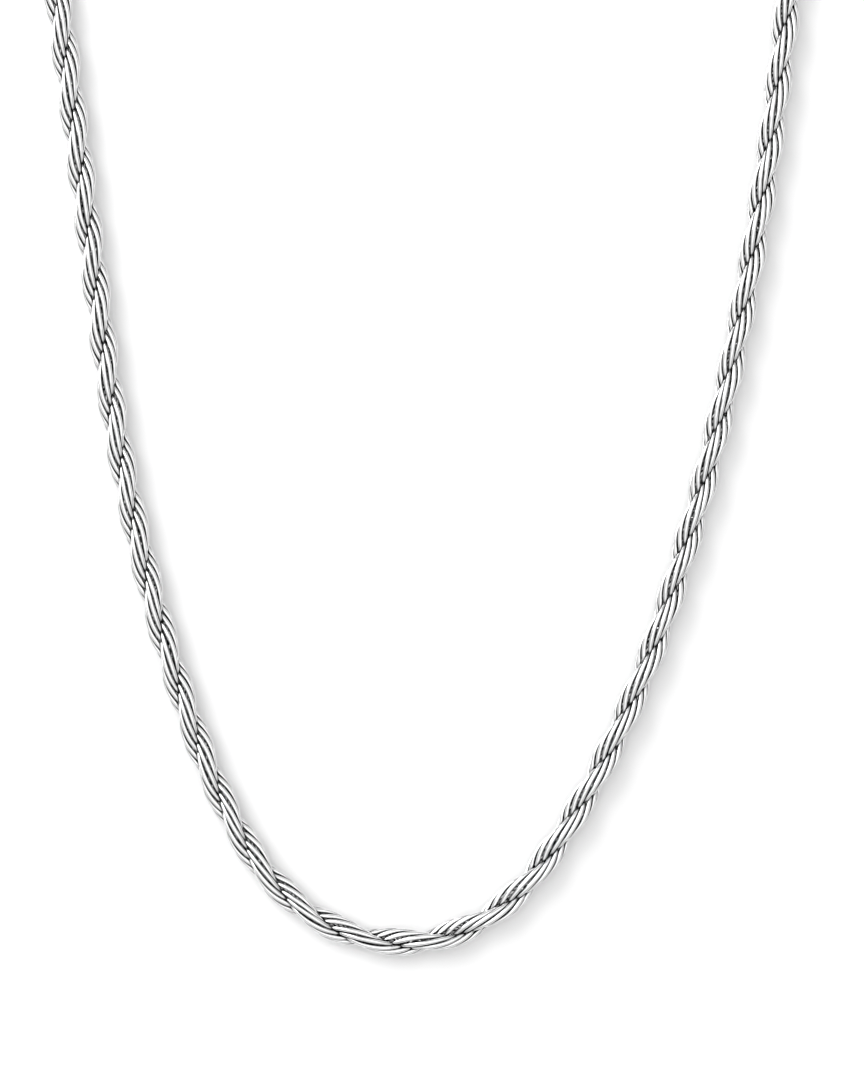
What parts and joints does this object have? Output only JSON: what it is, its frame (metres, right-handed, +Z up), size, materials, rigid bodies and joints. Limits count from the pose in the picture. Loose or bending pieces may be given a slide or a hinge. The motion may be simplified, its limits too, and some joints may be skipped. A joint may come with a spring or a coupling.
{
  "type": "rope chain necklace",
  "caption": "Silver rope chain necklace laid flat and unfastened, with interlocked oval wire rings, end caps, jump rings, lobster clasp and end tab.",
  "frame": {"origin": "centre of the necklace's bounding box, on the plane it lies on", "axes": "+Z up from the table, +Y from the front of the drape towards the clasp end, +X towards the arm that carries the end tab"},
  "size_m": [0.1146, 0.2246, 0.004],
  "materials": {
    "silver_links": "polished",
    "silver_findings": "polished",
    "spring_steel": "satin"
  },
  "bodies": {
    "front": {"links_front": "silver_links", "right_flex_1": "silver_links", "left_flex_1": "silver_links"},
    "right_1": {"right_links_1": "silver_links", "right_flex_2": "silver_links"},
    "right_2": {"right_links_2": "silver_links", "right_flex_3": "silver_links"},
    "right_3": {"right_links_3": "silver_links", "right_flex_4": "silver_links"},
    "right_4": {"right_links_4": "silver_links", "right_flex_5": "silver_links"},
    "right_5": {"right_links_5": "silver_links", "right_flex_6": "silver_links"},
    "right_6": {"right_links_6": "silver_links", "right_flex_7": "silver_links"},
    "right_7": {"right_links_7": "silver_links", "right_flex_8": "silver_links"},
    "right_8": {"right_links_8": "silver_links", "right_flex_9": "silver_links"},
    "right_9": {"right_links_9": "silver_links", "end_cap_right": "silver_findings"},
    "jump_ring_right": {"jump_ring_right": "silver_findings"},
    "end_tab": {"end_tab": "silver_findings"},
    "left_1": {"left_links_1": "silver_links", "left_flex_2": "silver_links"},
    "left_2": {"left_links_2": "silver_links", "left_flex_3": "silver_links"},
    "left_3": {"left_links_3": "silver_links", "left_flex_4": "silver_links"},
    "left_4": {"left_links_4": "silver_links", "left_flex_5": "silver_links"},
    "left_5": {"left_links_5": "silver_links", "left_flex_6": "silver_links"},
    "left_6": {"left_links_6": "silver_links", "left_flex_7": "silver_links"},
    "left_7": {"left_links_7": "silver_links", "left_flex_8": "silver_links"},
    "left_8": {"left_links_8": "silver_links", "left_flex_9": "silver_links"},
    "left_9": {"left_links_9": "silver_links", "end_cap_left": "silver_findings"},
    "jump_ring_left": {"jump_ring_left": "silver_findings"},
    "clasp": {"clasp_body": "silver_findings", "clasp_pin": "spring_steel", "clasp_spring": "spring_steel"},
    "clasp_gate": {"clasp_lever": "silver_findings"}
  },
  "joints": [
    {"name": "right_sway_1", "type": "hinge", "parent": "front", "child": "right_1", "pos_m": [0.0071, -0.10833, 0.002], "axis": [0, 0, 1], "range_deg": [-15, 15], "deforming": ["right_flex_1"]},
    {"name": "right_lift_2", "type": "hinge", "parent": "right_1", "child": "right_2", "pos_m": [0.0229, -0.09158, 0.002], "axis": [-0.8592, 0.5116, 0], "range_deg": [-15, 15], "deforming": ["right_flex_2"]},
    {"name": "right_sway_3", "type": "hinge", "parent": "right_2", "child": "right_3", "pos_m": [0.033, -0.0705, 0.002], "axis": [0, 0, -1], "range_deg": [-15, 15], "deforming": ["right_flex_3"]},
    {"name": "right_lift_4", "type": "hinge", "parent": "right_3", "child": "right_4", "pos_m": [0.0402, -0.04825, 0.002], "axis": [0.9632, -0.2687, 0], "range_deg": [-15, 15], "deforming": ["right_flex_4"]},
    {"name": "right_sway_5", "type": "hinge", "parent": "right_4", "child": "right_5", "pos_m": [0.04566, -0.0255, 0.002], "axis": [0, 0, 1], "range_deg": [-15, 15], "deforming": ["right_flex_5"]},
    {"name": "right_lift_6", "type": "hinge", "parent": "right_5", "child": "right_6", "pos_m": [0.04986, -0.00248, 0.002], "axis": [-0.9876, 0.157, 0], "range_deg": [-15, 15], "deforming": ["right_flex_6"]},
    {"name": "right_sway_7", "type": "hinge", "parent": "right_6", "child": "right_7", "pos_m": [0.05301, 0.0207, 0.002], "axis": [0, 0, -1], "range_deg": [-15, 15], "deforming": ["right_flex_7"]},
    {"name": "right_lift_8", "type": "hinge", "parent": "right_7", "child": "right_8", "pos_m": [0.05489, 0.04402, 0.002], "axis": [0.9989, -0.0479, 0], "range_deg": [-15, 15], "deforming": ["right_flex_8"]},
    {"name": "right_sway_9", "type": "hinge", "parent": "right_8", "child": "right_9", "pos_m": [0.05525, 0.06742, 0.002], "axis": [0, 0, 1], "range_deg": [-15, 15], "deforming": ["right_flex_9"]},
    {"name": "right_jump_ring_swing", "type": "hinge", "parent": "right_9", "child": "jump_ring_right", "pos_m": [0.05391, 0.0932, 0.002], "axis": [-0.9972, -0.0752, 0], "range_deg": [-30, 30]},
    {"name": "end_tab_swing", "type": "hinge", "parent": "jump_ring_right", "child": "end_tab", "pos_m": [0.0537, 0.09591, 0.002], "axis": [0, 0, 1], "range_deg": [-40, 40]},
    {"name": "left_sway_1", "type": "hinge", "parent": "front", "child": "left_1", "pos_m": [-0.01414, -0.10717, 0.002], "axis": [0, 0, 1], "range_deg": [-15, 15], "deforming": ["left_flex_1"]},
    {"name": "left_lift_2", "type": "hinge", "parent": "left_1", "child": "left_2", "pos_m": [-0.02859, -0.08926, 0.002], "axis": [0.9034, 0.4289, 0], "range_deg": [-15, 15], "deforming": ["left_flex_2"]},
    {"name": "left_sway_3", "type": "hinge", "parent": "left_2", "child": "left_3", "pos_m": [-0.03653, -0.06726, 0.002], "axis": [0, 0, -1], "range_deg": [-15, 15], "deforming": ["left_flex_3"]},
    {"name": "left_lift_4", "type": "hinge", "parent": "left_3", "child": "left_4", "pos_m": [-0.04216, -0.04456, 0.002], "axis": [-0.9799, -0.1995, 0], "range_deg": [-15, 15], "deforming": ["left_flex_4"]},
    {"name": "left_sway_5", "type": "hinge", "parent": "left_4", "child": "left_5", "pos_m": [-0.04589, -0.02146, 0.002], "axis": [0, 0, 1], "range_deg": [-15, 15], "deforming": ["left_flex_5"]},
    {"name": "left_lift_6", "type": "hinge", "parent": "left_5", "child": "left_6", "pos_m": [-0.04891, 0.00174, 0.002], "axis": [0.9914, 0.1307, 0], "range_deg": [-15, 15], "deforming": ["left_flex_6"]},
    {"name": "left_sway_7", "type": "hinge", "parent": "left_6", "child": "left_7", "pos_m": [-0.052, 0.02493, 0.002], "axis": [0, 0, -1], "range_deg": [-15, 15], "deforming": ["left_flex_7"]},
    {"name": "left_lift_8", "type": "hinge", "parent": "left_7", "child": "left_8", "pos_m": [-0.05441, 0.04821, 0.002], "axis": [-0.9975, -0.0705, 0], "range_deg": [-15, 15], "deforming": ["left_flex_8"]},
    {"name": "left_sway_9", "type": "hinge", "parent": "left_8", "child": "left_9", "pos_m": [-0.0553, 0.07158, 0.002], "axis": [0, 0, 1], "range_deg": [-15, 15], "deforming": ["left_flex_9"]},
    {"name": "left_jump_ring_swing", "type": "hinge", "parent": "left_9", "child": "jump_ring_left", "pos_m": [-0.05454, 0.09739, 0.002], "axis": [-0.9986, 0.0526, 0], "range_deg": [-30, 30]},
    {"name": "clasp_swing", "type": "hinge", "parent": "jump_ring_left", "child": "clasp", "pos_m": [-0.0544, 0.1001, 0.002], "axis": [0, 0, 1], "range_deg": [-40, 40]},
    {"name": "clasp_gate_open", "type": "hinge", "parent": "clasp", "child": "clasp_gate", "pos_m": [-0.05535, 0.10488, 0.002], "axis": [0, 0, -1], "range_deg": [0, 20], "stiffness_Nm_per_rad": 0.0001, "springref_deg": -11.46, "deforming": ["clasp_spring"]}
  ]
}
